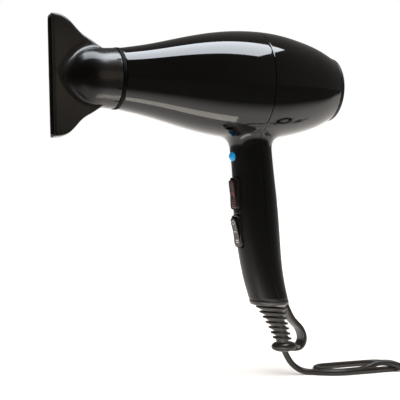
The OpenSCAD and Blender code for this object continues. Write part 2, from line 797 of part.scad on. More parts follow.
module plug_body() {
    color([0.06, 0.06, 0.06]) along_plug(0.05) difference() {
        intersection() {
            union() {
                cylinder(r1 = 12, r2 = plug_half, h = 9);
                translate([0, 0, 9]) cylinder(r = plug_half, h = plug_l - 9);
            }
            translate([-plug_half + 1, -plug_half, 0]) cube([2 * plug_half - 2, 2 * plug_half, plug_l]);
        }
        for (s = [-1, 1]) translate([0, s * pin_gap / 2, plug_l - root_l])
            cylinder(r = pin_root_r, h = root_l + slop);
    }
}

module plug_pins() {
    color("silver") for (s = [-1, 1]) along_plug(plug_l + 0.1) translate([0, s * pin_gap / 2, 0]) {
        translate([0, 0, 0.05 - root_l]) cylinder(r = pin_root_r, h = root_l);
        cylinder(r = pin_r, h = pin_l - pin_tip);
        translate([0, 0, pin_l - pin_tip]) cylinder(r1 = pin_r, r2 = pin_r - 1, h = pin_tip);
    }
}

front_housing();
rear_housing();
outlet_ring();
outlet_grille();
concentrator_nozzle();
nozzle_snap_ring();
rear_grille();
filter_mesh();
mica_sleeve();
mica_boards();
heating_coils();
thermal_cutout();
thermal_fuse();
motor_body();
motor_bearings();
motor_shaft();
fan();
fan_shroud();
heat_switch_body();
speed_switch_body();
heat_rocker();
speed_rocker();
switch_terminals();
cool_shot_button();
cool_shot_spring();
cool_shot_switch();
housing_screws();
terminal_block();
capacitor();
lead_wires();
cord_clamp_base();
cord_clamp_bar();
clamp_screws();
strain_relief();
cord_lead();
cord_drop();
cord_hank();
cord_run();
cord_coil();
coil_tie();
plug_boot();
plug_body();
plug_pins();
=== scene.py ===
import json
import math

import bmesh
import bpy
import numpy as np
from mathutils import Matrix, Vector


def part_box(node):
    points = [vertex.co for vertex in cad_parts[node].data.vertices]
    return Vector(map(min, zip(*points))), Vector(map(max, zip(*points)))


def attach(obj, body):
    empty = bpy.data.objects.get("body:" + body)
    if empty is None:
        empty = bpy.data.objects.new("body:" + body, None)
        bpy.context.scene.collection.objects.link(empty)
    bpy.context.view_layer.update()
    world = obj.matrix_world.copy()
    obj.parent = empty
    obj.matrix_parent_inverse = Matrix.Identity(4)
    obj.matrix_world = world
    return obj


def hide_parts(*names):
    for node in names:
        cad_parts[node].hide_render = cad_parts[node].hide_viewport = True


# The looks of a salon hair dryer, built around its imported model. Lengths are in metres; MM is a millimetre.
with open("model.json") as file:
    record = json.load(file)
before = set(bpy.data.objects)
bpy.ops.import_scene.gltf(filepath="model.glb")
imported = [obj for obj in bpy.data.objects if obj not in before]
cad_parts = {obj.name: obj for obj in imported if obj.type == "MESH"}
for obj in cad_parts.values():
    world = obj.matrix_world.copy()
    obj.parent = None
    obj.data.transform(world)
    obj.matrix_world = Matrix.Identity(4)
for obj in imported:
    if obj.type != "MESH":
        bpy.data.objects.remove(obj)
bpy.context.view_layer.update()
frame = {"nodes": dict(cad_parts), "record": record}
nodes = frame["nodes"]
MM = 0.001
covered = set()  # frame nodes that a piece stands in for


# --- Curves and sections ---


def spline(points):
    """Natural cubic spline through (place, value) pairs given in millimetres, as a function in metres.
    Its second derivatives are zero at both ends, and the others solve the usual three-term equations."""
    x, y = MM * np.array(points, float).T
    step, last = np.diff(x), len(x) - 1
    system = np.diag(np.r_[1, 2 * (step[:-1] + step[1:]), 1])
    rows = np.arange(1, last)
    system[rows, rows - 1], system[rows, rows + 1] = step[:-1], step[1:]
    bend = np.linalg.solve(system, np.r_[0, 6 * np.diff(np.diff(y) / step), 0])

    def value(t):
        i = np.clip(np.searchsorted(x, t, side="right") - 1, 0, last - 1)
        v = (np.asarray(t, float) - x[i]) / step[i]
        u = 1 - v
        rise = (u**3 - u) * bend[i] + (v**3 - v) * bend[i + 1]
        return u * y[i] + v * y[i + 1] + rise * step[i] ** 2 / 6

    return value


def smooth_path(points, steps):
    """Catmull-Rom curve through the points, with that many steps in each span."""
    p = np.array(points, float)
    a, b, c, d = np.vstack([p[:1], p[:-2]]), p[:-1], p[1:], np.vstack([p[2:], p[-1:]])
    t = (np.arange(steps) / steps)[None, :, None]
    a, b, c, d = (q[:, None, :] for q in (a, b, c, d))
    curve = 0.5 * (2 * b + (c - a) * t + (2 * a - 5 * b + 4 * c - d) * t**2 + (3 * b - a - 3 * c + d) * t**3)
    return np.vstack([curve.reshape(-1, p.shape[1]), p[-1:]])


def even_path(path, gap):
    """The same path with its points a gap apart."""
    run = np.r_[0, np.cumsum(np.linalg.norm(np.diff(path, axis=0), axis=1))]
    places = np.linspace(0, run[-1], max(2, int(round(run[-1] / gap)) + 1))
    return np.stack([np.interp(places, run, path[:, k]) for k in range(3)], axis=1)


def squared(wave, power):
    """A cosine or sine drawn out towards a rounded square: its size to the power 2 / power, with its sign."""
    return np.sign(wave) * np.abs(wave) ** (2 / power)


def smoothstep(t):
    """0 below 0, 1 above 1, and 3t^2 - 2t^3 between."""
    t = np.clip(t, 0, 1)
    return t * t * (3 - 2 * t)


def unit(v):
    """Vectors of length 1 along the last axis."""
    return v / np.maximum(np.linalg.norm(v, axis=-1, keepdims=True), 1e-12)


def normals_of(points):
    """Outward or inward unit normals of a grid: the cross product of its two parameters' slopes."""
    return unit(np.cross(np.gradient(points, axis=0), np.gradient(points, axis=1)))


def full_turn(count):
    """The angles of a full turn in equal steps, as one row."""
    return (2 * np.pi * np.arange(count) / count)[None, :]


def turned(line, middle, sides):
    """Surface of revolution about an axis along X through the middle: each pair of the line is a place along
    the axis and a radius."""
    line, a = np.array(line, float), full_turn(sides)
    x, r = line[:, :1], line[:, 1:]
    return middle + np.stack([x + 0 * a, r * np.sin(a), r * np.cos(a)], axis=-1)


def carried(path, section, side):
    """A closed section carried along a path: each point is path + u * across + v * up, where across is the
    unit cross product of side and heading, and up completes the frame. Rows are the path's points."""
    heading = unit(np.gradient(path, axis=0))
    across = unit(np.cross(np.asarray(side, float), heading))
    up = np.cross(heading, across)
    u, v = section[None, :, :1], section[None, :, 1:]
    return path[:, None, :] + u * across[:, None, :] + v * up[:, None, :]


def transported(path, radius, sides):
    """A round tube along a free path: its frame is turned as little as possible from point to point."""
    heading = unit(np.gradient(path, axis=0))
    normal = np.zeros_like(path)
    normal[0] = unit(np.cross(heading[0], [0, 1, 0.01]))
    for i in range(1, len(path)):
        normal[i] = unit(normal[i - 1] - heading[i] * np.dot(normal[i - 1], heading[i]))
    other = np.cross(heading, normal)
    a = full_turn(sides)[..., None]
    ring = np.cos(a) * normal[:, None, :] + np.sin(a) * other[:, None, :]
    return path[:, None, :] + radius * ring


def rounded_box(width, height, radius, arc=5):
    """Closed rounded rectangle, as pairs: a quarter circle at each corner."""
    t = np.linspace(0, np.pi / 2, arc)
    corner = radius * np.stack([np.cos(t), np.sin(t)], axis=1)
    turns = [(1, 1, 1), (-1, 1, -1), (-1, -1, 1), (1, -1, -1)]
    inner = np.array([width / 2 - radius, height / 2 - radius])
    return np.vstack([(inner + corner)[::way] * [sx, sy] for sx, sy, way in turns])


# --- Meshes ---


def into_scene(name, data):
    """An object that holds the data, linked into the scene."""
    made = bpy.data.objects.new(name, data)
    bpy.context.scene.collection.objects.link(made)
    return made


MERGE_WITHIN = 0.002 * MM


class Shape:
    """Patches of one piece. Patches that share an edge are joined there when the piece is made."""

    def __init__(self):
        self.points, self.faces, self.uvs, self.count = [], [], [], 0

    def add(self, points, faces, uv=None):
        """Takes in a patch, and shifts its faces' numbers past the points that are there."""
        flat = points.reshape(-1, 3)
        self.points.append(flat)
        self.faces.append(faces + self.count)
        self.uvs.append(np.zeros((len(flat), 2)) if uv is None else uv.reshape(-1, 2))
        self.count += len(flat)
        return self

    def grid(self, points, round_cols=False, round_rows=False, keep=None, uv=None, flip=False):
        """Quads between the neighbours of a grid; keep says which of its cells are there."""
        rows, cols = points.shape[:2]
        r = np.arange(rows if round_rows else rows - 1)[:, None]
        c = np.arange(cols if round_cols else cols - 1)[None, :]
        below, right = (r + 1) % rows, (c + 1) % cols
        cells = np.stack([r * cols + c, r * cols + right, below * cols + right, below * cols + c], -1)
        cells = cells[keep] if keep is not None else cells.reshape(-1, 4)
        return self.add(points, cells[:, ::-1] if flip else cells, uv)

    def tube(self, points, flip=False, uv=None):
        """A grid of closed rows, with both ends closed by fans."""
        self.grid(points, round_cols=True, flip=flip, uv=uv)
        self.fan(points[0], flip=not flip)
        return self.fan(points[-1], flip=flip)

    def fan(self, ring, flip=False):
        """Triangles from a ring's middle to its edge."""
        count = len(ring)
        middle = ring.mean(axis=0)[None]
        k = np.arange(count)
        faces = np.stack([k, (k + 1) % count, np.full(count, count), np.full(count, count)], axis=1)
        return self.add(np.vstack([ring, middle]), faces[:, ::-1] if flip else faces)

    def piece(self, name, body, slot, finish, replaces=(), sharp=40, wall=0, with_uv=False):
        """Makes the object: merges doubled points, drops loose ones, gives it a wall if asked, and rides it
        on a body in place of the frame nodes that it replaces."""
        mesh = bpy.data.meshes.new(name)
        points = np.vstack(self.points)
        corners = [list(dict.fromkeys(f)) for f in np.vstack(self.faces).tolist()]
        mesh.from_pydata(points.tolist(), [], corners)
        if with_uv:
            layer = mesh.uv_layers.new(name="UVMap")
            loops = np.zeros(len(mesh.loops), int)
            mesh.loops.foreach_get("vertex_index", loops)
            layer.data.foreach_set("uv", np.vstack(self.uvs)[loops].astype(np.float32).reshape(-1))
        work = bmesh.new()
        work.from_mesh(mesh)
        bmesh.ops.remove_doubles(work, verts=work.verts, dist=MERGE_WITHIN)
        bmesh.ops.delete(work, geom=[v for v in work.verts if not v.link_faces], context="VERTS")
        work.to_mesh(mesh)
        work.free()
        mesh.polygons.foreach_set("use_smooth", np.ones(len(mesh.polygons), bool))
        mesh.set_sharp_from_angle(angle=math.radians(sharp))
        mesh.materials.append(finish)
        made = into_scene(name, mesh)
        if wall:
            shell = made.modifiers.new("wall", "SOLIDIFY")
            shell.thickness, shell.offset, shell.use_even_offset = wall, -1, True
        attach(made, body)
        if replaces:
            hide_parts(*replaces)
            covered.update(replaces)
        return made


# --- Shader maths ---


class Value:
    """A shader socket. Arithmetic on it adds Math nodes."""

    def __init__(self, finish, socket):
        self.finish, self.socket = finish, socket

    def __add__(self, other):
        return self.finish.math("ADD", self, other)

    def __sub__(self, other):
        return self.finish.math("SUBTRACT", self, other)

    def __rsub__(self, other):
        return self.finish.math("SUBTRACT", other, self)

    def __mul__(self, other):
        return self.finish.math("MULTIPLY", self, other)

    __radd__, __rmul__ = __add__, __mul__


class Finish:
    """One material, built node by node. What varies feeds only colours, roughness, metallic, alpha, a bump or
    the share of a second shader."""

    def __init__(self, name):
        self.material = bpy.data.materials.new(name)
        self.material.use_nodes = True
        self.tree = self.material.node_tree
        self.shader = self.tree.nodes["Principled BSDF"]

    def node(self, kind, settings=None, **sockets):
        """Adds a node: its settings first, then the values or links of its sockets, with _ for spaces."""
        made = self.tree.nodes.new(kind)
        for key, value in (settings or {}).items():
            setattr(made, key, value)
        for key, value in sockets.items():
            name = key.replace("_", " ")
            self.feed(next(s for s in made.inputs if s.name == name and s.enabled), value)
        return Value(self, next(s for s in made.outputs if s.enabled))

    def feed(self, socket, value):
        """Links a value to a socket, or sets a plain number or colour on it."""
        if isinstance(value, Value):
            self.tree.links.new(value.socket, socket)
        else:
            socket.default_value = value

    def math(self, operation, a, b=0.0):
        made = self.tree.nodes.new("ShaderNodeMath")
        made.operation = operation
        self.feed(made.inputs[0], a)
        self.feed(made.inputs[1], b)
        return Value(self, made.outputs[0])

    def where(self, kind="Object"):
        """Object or UV coordinates."""
        return Value(self, self.tree.nodes.new("ShaderNodeTexCoord").outputs[kind])

    def axes(self):
        """Object coordinates as three values, in metres."""
        parts = self.tree.nodes.new("ShaderNodeSeparateXYZ")
        self.feed(parts.inputs[0], self.where())
        return [Value(self, part) for part in parts.outputs]

    def noise(self, scale, detail=2.0, rough=0.5, stretch=(1, 1, 1), kind="Object"):
        """Fractal noise whose coordinates are stretched along each axis first."""
        where = self.node("ShaderNodeMapping", Vector=self.where(kind), Scale=stretch)
        return self.node("ShaderNodeTexNoise", Vector=where, Scale=scale, Detail=detail, Roughness=rough)

    def between(self, value, low, high, to_low=0.0, to_high=1.0):
        """The value's range low..high carried smoothly to to_low..to_high, and held there outside it."""
        settings = {"interpolation_type": "SMOOTHSTEP"}
        sockets = {"From_Min": low, "From_Max": high, "To_Min": to_low, "To_Max": to_high}
        return self.node("ShaderNodeMapRange", settings, Value=value, **sockets)

    def blend(self, factor, a, b):
        """The first colour where the factor is 0, and the second where it is 1."""
        return self.node("ShaderNodeMix", {"data_type": "RGBA"}, Factor=factor, A=a, B=b)

    def bump(self, height, distance):
        return self.node("ShaderNodeBump", Height=height, Distance=distance, Strength=1.0)

    def done(self, colour, rough, bump=None, metallic=0.0, **sockets):
        """Fills in the shader's sockets."""
        self.feed(self.shader.inputs["Base Color"], colour)
        self.feed(self.shader.inputs["Roughness"], rough)
        self.feed(self.shader.inputs["Metallic"], metallic)
        if bump is not None:
            self.feed(self.shader.inputs["Normal"], bump)
        for key, value in sockets.items():
            self.feed(self.shader.inputs[key.replace("_", " ")], value)
        return self.material

    def second(self, share, colour, rough, bump, **sockets):
        """Mixes a second shader over the first, by a share from 0 to 1."""
        first, self.shader = self.shader, self.tree.nodes.new("ShaderNodeBsdfPrincipled")
        self.done(colour, rough, bump, **sockets)
        both = self.tree.nodes.new("ShaderNodeMixShader")
        self.feed(both.inputs[0], share)
        self.tree.links.new(first.outputs[0], both.inputs[1])
        self.tree.links.new(self.shader.outputs[0], both.inputs[2])
        self.tree.links.new(both.outputs[0], self.tree.nodes["Material Output"].inputs["Surface"])
        return self.material


def rgb(r, g, b):
    return (r, g, b, 1.0)


SATIN_BELOW, GLOSS_ABOVE = 66 * MM, 80 * MM


def gloss_black():
    """Piano-black lacquer on the barrel: fine haze in the gloss and a few hairline swirls. From the root down
    the grip has a satin face instead, with a finer grain: a second shader, mixed in by height."""
    f = Finish("gloss_black_housing")
    haze, grit = f.noise(38, 3), f.noise(1500, 2)
    hair = f.noise(260, 3, 0.6, stretch=(0.12, 1, 1))
    colour = f.blend(haze, rgb(0.0006, 0.00055, 0.0005), rgb(0.0011, 0.0010, 0.0009))
    gloss = f.between(haze, 0.35, 0.75, 0.045, 0.085) + f.between(hair, 0.62, 0.75, 0.0, 0.05)
    f.done(colour, gloss, f.bump(f.noise(170, 1), 0.000004), IOR=1.5)
    colour = f.blend(haze, rgb(0.0010, 0.0010, 0.0010), rgb(0.0016, 0.0016, 0.0015))
    share = f.between(f.axes()[2], SATIN_BELOW, GLOSS_ABOVE, 1.0, 0.0)
    return f.second(share, colour, grit * 0.08 + 0.33, f.bump(grit, 0.000006), IOR=1.32)


def satin(name, dark, light, rough, grain=1400, depth=0.00003, spread=0.06, **sockets):
    """Moulded plastic or rubber: mottled colour, a spark-eroded grain, and gloss that wanders a little."""
    f = Finish(name)
    cloud, grit = f.noise(70, 4), f.noise(grain, 2, 0.6)
    colour = f.blend(f.between(cloud, 0.3, 0.7), rgb(*dark), rgb(*light))
    gloss = f.between(cloud, 0.3, 0.7, rough - spread, rough + spread)
    return f.done(colour, gloss + (grit - 0.5) * 0.06, f.bump(grit, depth), **sockets)


def nozzle_satin():
    """The nozzle's moulding: an even satin on its plate and the end of its collar, and painted shade on the
    round body between them, a darker, closer copy of the satin with a weaker reflection, mixed in by distance
    from the middle plane and along the nozzle."""
    f = Finish("nozzle_satin_black")
    cloud, grit = f.noise(70, 4), f.noise(1500, 2, 0.6)
    along, aside, _ = f.axes()
    aside = f.math("ABSOLUTE", aside)
    # share marks the round body, where the painted shade goes
    share = f.between(aside, 7 * MM, 12 * MM) * f.between(along, -152 * MM, -136 * MM, 1.0, 0.0)
    tone, grain, speckle = f.between(cloud, 0.3, 0.7), f.bump(grit, 0.000004), (grit - 0.5) * 0.06
    colour = f.blend(tone, rgb(0.0040, 0.0033, 0.0026), rgb(0.0050, 0.0042, 0.0034))
    f.done(colour, f.between(cloud, 0.3, 0.7, 0.215, 0.245) + speckle, grain)
    # Painted shade: the round body's copy is darker in colour and reflects less
    colour = f.blend(tone, rgb(0.0006, 0.0005, 0.0004), rgb(0.0010, 0.0009, 0.0007))
    return f.second(share, colour, f.between(cloud, 0.3, 0.7, 0.225, 0.255) + speckle, grain, IOR=1.34)


def metal(name, dark, light, rough, stretch=(1, 12, 12), **sockets):
    """Drawn or turned metal: fine lines along the axis that is stretched least, and a slightly uneven
    polish."""
    f = Finish(name)
    lines, cloud = f.noise(420, 3, 0.6, stretch), f.noise(90, 2)
    colour = f.blend(lines, rgb(*dark), rgb(*light))
    gloss = f.between(cloud, 0.3, 0.7, rough * 0.75, rough * 1.3)
    return f.done(colour, gloss + (lines - 0.5) * 0.1, f.bump(lines, 0.00001), metallic=1.0, **sockets)


def cord_rubber():
    """Flexible jacket: faint extrusion lines along the cord, from its own UV map, over a fine grain."""
    f = Finish("cord_rubber")
    lines = f.noise(9, 2, 0.5, stretch=(0.6, 26, 1), kind="UV")
    cloud, grit = f.noise(60, 3), f.noise(1700, 2)
    colour = f.blend(cloud, rgb(0.0060, 0.0046, 0.0033), rgb(0.0100, 0.0078, 0.0058))
    gloss = f.between(cloud, 0.3, 0.7, 0.3, 0.42) + (lines - 0.5) * 0.12
    return f.done(colour, gloss, f.bump(lines * 0.5 + grit * 0.5, 0.00002))


def button_blue():
    """Bright blue moulding, slightly clouded, with a faint glow of its own."""
    f = Finish("button_blue")
    cloud = f.noise(240, 2)
    colour = f.blend(cloud, rgb(0.004, 0.16, 0.38), rgb(0.010, 0.30, 0.56))
    rough = f.between(cloud, 0.3, 0.7, 0.14, 0.24)
    glow = f.blend(cloud, rgb(0.0, 0.18, 0.42), rgb(0.01, 0.26, 0.52))
    return f.done(colour, rough, f.bump(cloud, 0.00001), Emission_Color=glow, Emission_Strength=0.28)


WIRE_PITCH = 0.55 * MM


def woven_steel():
    """Wire gauze: two crossing sets of round wires, each the size of a sine wave, with painted shade between
    them where the gaps would be.
    """
    f = Finish("filter_steel")
    _, y, z = f.axes()
    across, up = (f.math("ABSOLUTE", f.math("SINE", v * (2 * math.pi / WIRE_PITCH))) for v in (y, z))
    wires = f.math("MAXIMUM", across, up)
    # Painted shade: near black between the wires, in place of open gaps
    colour = f.blend(f.between(wires, 0.55, 0.9), rgb(0.01, 0.01, 0.01), rgb(0.42, 0.41, 0.39))
    rough = f.between(wires, 0.5, 1.0, 0.6, 0.3)
    return f.done(colour, rough, f.bump(wires, 0.0001), metallic=f.between(wires, 0.5, 0.8))


# Every finish, by the name of its material slot
FINISHES = {
    "gloss_black_housing": gloss_black(),
    "outlet_black": satin("outlet_black", (0.0003, 0.0003, 0.0003), (0.0006, 0.0006, 0.0006), 0.6, IOR=1.2),
    "nozzle_satin_black": nozzle_satin(),
    "spring_steel": metal("spring_steel", (0.4, 0.4, 0.41), (0.62, 0.61, 0.6), 0.28),
    "grille_matte_black": satin("grille_matte_black", (0.002, 0.002, 0.002), (0.004, 0.004, 0.004), 0.45),
    "filter_steel": woven_steel(),
    "mica": satin("mica", (0.36, 0.29, 0.17), (0.62, 0.54, 0.38), 0.4, 300, 0.00004, 0.1),
    "heater_wire": metal("heater_wire", (0.2, 0.18, 0.16), (0.42, 0.38, 0.34), 0.4),
    "cutout_ceramic": satin("cutout_ceramic", (0.6, 0.57, 0.5), (0.72, 0.69, 0.62), 0.5, 900),
    "motor_steel": metal("motor_steel", (0.35, 0.35, 0.36), (0.52, 0.52, 0.53), 0.34, (12, 1, 1)),
    "bearing_bronze": metal("bearing_bronze", (0.42, 0.24, 0.1), (0.58, 0.36, 0.16), 0.36, (12, 1, 1)),
    "fan_plastic": satin("fan_plastic", (0.03, 0.03, 0.031), (0.045, 0.045, 0.046), 0.42),
    "shroud_plastic": satin("shroud_plastic", (0.012, 0.012, 0.013), (0.02, 0.02, 0.021), 0.46),
    "switch_black": satin("switch_black", (0.002, 0.002, 0.002), (0.004, 0.0038, 0.0036), 0.3),
    "rocker_dark_red": satin("rocker_dark_red", (0.01, 0.0018, 0.0013), (0.015, 0.0028, 0.002), 0.24,
                             IOR=1.4),
    "rocker_black": satin("rocker_black", (0.0015, 0.0015, 0.0015), (0.0028, 0.0028, 0.0028), 0.24, IOR=1.4),
    "terminal_brass": metal("terminal_brass", (0.5, 0.36, 0.12), (0.7, 0.53, 0.22), 0.3),
    "button_blue": button_blue(),
    "screw_zinc": metal("screw_zinc", (0.32, 0.32, 0.33), (0.5, 0.5, 0.5), 0.32, (1, 1, 1)),
    "terminal_block_white": satin("terminal_block_white", (0.55, 0.55, 0.52), (0.68, 0.68, 0.64), 0.45),
    "capacitor_yellow": satin("capacitor_yellow", (0.5, 0.33, 0.04), (0.62, 0.43, 0.07), 0.35),
    "wire_insulation": satin("wire_insulation", (0.05, 0.03, 0.02), (0.09, 0.05, 0.03), 0.4),
    "clamp_black": satin("clamp_black", (0.01, 0.01, 0.01), (0.018, 0.018, 0.018), 0.45),
    "relief_rubber": satin("relief_rubber", (0.006, 0.0047, 0.0035), (0.01, 0.0079, 0.006), 0.33, 1500,
                           0.00002),
    "cord_rubber": cord_rubber(),
    "tie_black": satin("tie_black", (0.008, 0.008, 0.008), (0.014, 0.014, 0.014), 0.5, 900, 0.00006),
    "plug_rubber": satin("plug_rubber", (0.009, 0.0088, 0.0085), (0.016, 0.0155, 0.015), 0.4),
    "pin_nickel": metal("pin_nickel", (0.5, 0.48, 0.44), (0.72, 0.7, 0.66), 0.2),
}


# --- Camera ---

CAMERA_TURN = math.radians(-24.66)
camera_data = bpy.data.cameras.new("camera")
camera_data.lens, camera_data.sensor_width = 90, 36
camera = into_scene("camera", camera_data)
camera.location = (-0.391, -0.7375, 0.02917)
camera.rotation_euler = (math.radians(90), 0, CAMERA_TURN)
bpy.context.scene.camera = camera


# --- Mains lead ---

LEAD_R = 2.5 * MM
FLOOR_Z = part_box("cord_hank")[0].z
LIE_Z = FLOOR_Z + LEAD_R
LEAD_EXIT = [26.2, 0, -98.6]
# Points as x, y and the height above lying flat
DROP_ROUTE = [[28.6, 0, 13.5], [31.8, 0, 8.7], [36, -0.3, 4.5], [41, -1.6, 1.4], [46, -4.4, 0.1]]
HANK_ROUTE = [
    [51, -8.6, 0], [56.5, -13.4, 0], [63, -17.6, 0], [70.5, -20.2, 0], [79, -21, 0], [90, -21, 0],
    [101, -21, 0], [110, -21, 0], [119, -21, 0], [128, -18.6, 0], [134.6, -12, 0], [137, -3, 0],
    [134.6, 6, 0], [128, 12.6, 0], [119, 15, 0], [108, 15.2, 0], [97, 15.2, 0], [86, 15.2, 0], [74, 15, 0],
    [66.5, 13, 0], [61, 7.5, 0], [59, 0, 0], [61, -7.5, 0], [66.5, -13, 0], [74, -15, 0], [83, -15.2, 0],
    [92, -14.9, 0.2], [100, -14.8, 1.6], [107, -16, 4.2], [113, -19, 5.4], [118.5, -22.6, 5.2],
    [124.5, -25.2, 2.8]]
RUN_ROUTE = [[131, -24.4, 0.3], [138, -20.5, 0], [144, -15.5, 0], [150, -11, 0], [157, -6.8, 0], [164, -4, 0],
             [172, -3, 0]]
TAIL_ROUTE = [[182, -2.6, 15], [192, -0.6, 15.1], [202, 3, 15.3], [211, 6.6, 15.5]]
COIL_MIDDLE = np.array([172, -36])
COIL_RADII = np.array([33, 28, 23, 23, 28, 33, 33, 28, 23, 23, 28, 33])
TURNS_IN_LAYER = 3


def coil_path(steps=48):
    """Turns clockwise from above, each at its own radius and layer, easing into the next one's over its last
    sixth: the middle + r (cos a, sin a), and one lead's thickness up for each layer."""
    t = np.arange(1, steps * len(COIL_RADII) + 1) / steps
    turn = np.minimum(np.ceil(t - 1e-9).astype(int) - 1, len(COIL_RADII) - 1)
    after = np.minimum(turn + 1, len(COIL_RADII) - 1)
    ease = smoothstep((t - turn - 5 / 6) * 6)
    layer = turn // TURNS_IN_LAYER + ease * (after // TURNS_IN_LAYER - turn // TURNS_IN_LAYER)
    r = COIL_RADII[turn] + ease * (COIL_RADII[after] - COIL_RADII[turn])
    a = np.pi / 2 - 2 * np.pi * t
    ring = COIL_MIDDLE + r[:, None] * np.stack([np.cos(a), np.sin(a)], axis=1)
    return np.column_stack([ring, 2 * LEAD_R / MM * layer])


def lead_path():
    """From the exit down to the floor, through the hank, into the coil and on to the plug, every 2.2 mm."""
    exit_point = [LEAD_EXIT[0], 0, LEAD_EXIT[2] - LIE_Z / MM]
    first = smooth_path([exit_point] + DROP_ROUTE + HANK_ROUTE + RUN_ROUTE, 6)
    coil = coil_path()
    last = smooth_path(np.vstack([coil[-3:], TAIL_ROUTE]), 6)
    return even_path(np.vstack([first, coil[:-3], last]) * MM + [0, 0, LIE_Z], 2.2 * MM)


LEAD_SIDES, UV_METRES = 14, 0.05
lead_line = lead_path()
lead_run = np.r_[0, np.cumsum(np.linalg.norm(np.diff(lead_line, axis=0), axis=1))]
about = np.abs(2 * np.arange(LEAD_SIDES) / LEAD_SIDES - 1)
lead_uv = np.stack(np.broadcast_arrays(lead_run[:, None] / UV_METRES, about[None, :]), axis=-1)
mains_lead = Shape().tube(transported(lead_line, LEAD_R, LEAD_SIDES), uv=lead_uv).piece(
    "mains_lead", "dryer", "cord_rubber", FINISHES["cord_rubber"],
    replaces=("cord_drop", "cord_hank", "cord_run", "cord_coil"), with_uv=True)


# --- Housings ---

WALL = 1.4 * MM
BARREL_Z = 124 * MM
BARREL_ENDS = {-1: -124 * MM, 1: 66 * MM}
SEAM_X = -6 * MM
GRIP_HALF_W, GRIP_POWER = 16 * MM, 2.2
ROOT_Z, GRIP_BOTTOM = 70 * MM, -54 * MM
ROOT_X, ROOT_REACH, ROOT_TURN = -6.9 * MM, 27.5 * MM, math.radians(34.5)
WINDOW = {-1: -44 * MM, 1: 32 * MM}
WINDOW_TURN = math.radians(48)
OPENING_Y = 6.1 * MM
barrel_line = spline([[-124, 23.8], [-100, 28.3], [-70, 35.7], [-40, 41.9], [-12, 44.4], [12, 43.4], [35, 39],
                      [54, 33], [66, 27.4]])
grip_middle = spline([[-54, 10.9], [-39, 6.6], [-18, 2.7], [19, -1.4], [57, -4.6], [77, -6.6], [100, -7]])
grip_half = spline([[-54, 15.9], [-18, 17.6], [19, 18.75], [52, 17.3], [77, 17.3], [100, 17.3]])
grip_seam = spline([[-70, 17], [-54, 11.9], [-39, 7.6], [-18, 3.7], [19, -0.4], [57, -3.6], [79, -6]])


def barrel_radius(x):
    """The barrel's outline, with both its end edges rounded off."""
    front = np.clip(1 - (x - BARREL_ENDS[-1]) / (0.8 * MM), 0, 1)
    rear = np.clip(1 - (BARREL_ENDS[1] - x) / (1.6 * MM), 0, 1)
    return barrel_line(x) - 0.7 * MM * front**2 - 1.0 * MM * rear**2


def barrel_point(x, turn):
    """Point of the barrel at x, turned from straight down towards +Y."""
    r = barrel_radius(x)
    return np.stack([x + 0 * turn, r * np.sin(turn), BARREL_Z - r * np.cos(turn)], axis=-1)


def barrel_normal(x, turn):
    """Outward normal there, from the outline's slope."""
    slope = (barrel_radius(x + 0.1 * MM) - barrel_radius(x - 0.1 * MM)) / (0.2 * MM)
    return unit(np.stack([-slope + 0 * turn, np.sin(turn) + 0 * x, -np.cos(turn) + 0 * x], axis=-1))


def around(side, cosine, s):
    """Angle at s, from 0 to 1, along the front (side -1) or rear (side 1) of a ring, from seam to seam."""
    start = np.arccos(np.sign(cosine) * np.abs(cosine) ** (GRIP_POWER / 2))
    return start + s * 2 * (np.pi - start) if side < 0 else start * (2 * s - 1)


def root_curve(side, s):
    """Outline of the grip's root on the barrel, as x and turn: a superellipse."""
    a = around(side, (SEAM_X - ROOT_X) / ROOT_REACH, s)
    return ROOT_X + ROOT_REACH * squared(np.cos(a), GRIP_POWER), ROOT_TURN * squared(np.sin(a), GRIP_POWER)


def grip_point(side, z, s):
    """Point of the grip: at each height a superellipse about the grip's middle line."""
    middle, half = grip_middle(z), grip_half(z)
    a = around(side, (grip_seam(z) - middle) / half, s)
    x = middle + half * squared(np.cos(a), GRIP_POWER)
    return np.stack([x, GRIP_HALF_W * squared(np.sin(a), GRIP_POWER), z + 0 * s], axis=-1)


def grip_face(side, y, z):
    """x of the grip's front or rear face at y and z."""
    share = np.abs(y / GRIP_HALF_W) ** GRIP_POWER
    return grip_middle(z) + side * grip_half(z) * (1 - share) ** (1 / GRIP_POWER)


def groove(points, normals, distance):
    """Rolls the seam's edge in: depth 0.9 mm x (1 - distance / 0.7 mm)^3 against the normal."""
    depth = 0.9 * MM * np.clip(1 - distance / (0.7 * MM), 0, 1) ** 3
    return points - depth[..., None] * normals


def round_hole(shape, block, side, middle_z, radius):
    """Fills a window in the grip's face up to a round hole: straight spokes run from the window's edge to the
    hole's, along the face, and the hole's edge is rolled in."""
    edge = np.vstack([block[0], block[1:, -1], block[-1, -2::-1], block[-2:0:-1, 0]])
    middle = np.array([0, middle_z])
    way = unit(edge[:, 1:] - middle)
    t = np.linspace(0, 1, 7)[:, None, None]
    rows = edge[:, 1:] + (middle + radius * way - edge[:, 1:]) * t
    points = np.concatenate([grip_face(side, rows[..., :1], rows[..., 1:]), rows], axis=-1)
    points[0] = edge
    lip = points[-1] - [side * 0.3 * MM, 0, 0]
    lip[:, 1:] = middle + (radius - 0.12 * MM) * way
    foot = lip - [side * 1.2 * MM, 0, 0]
    shape.grid(np.concatenate([points, lip[None], foot[None]]), round_cols=True, flip=True)


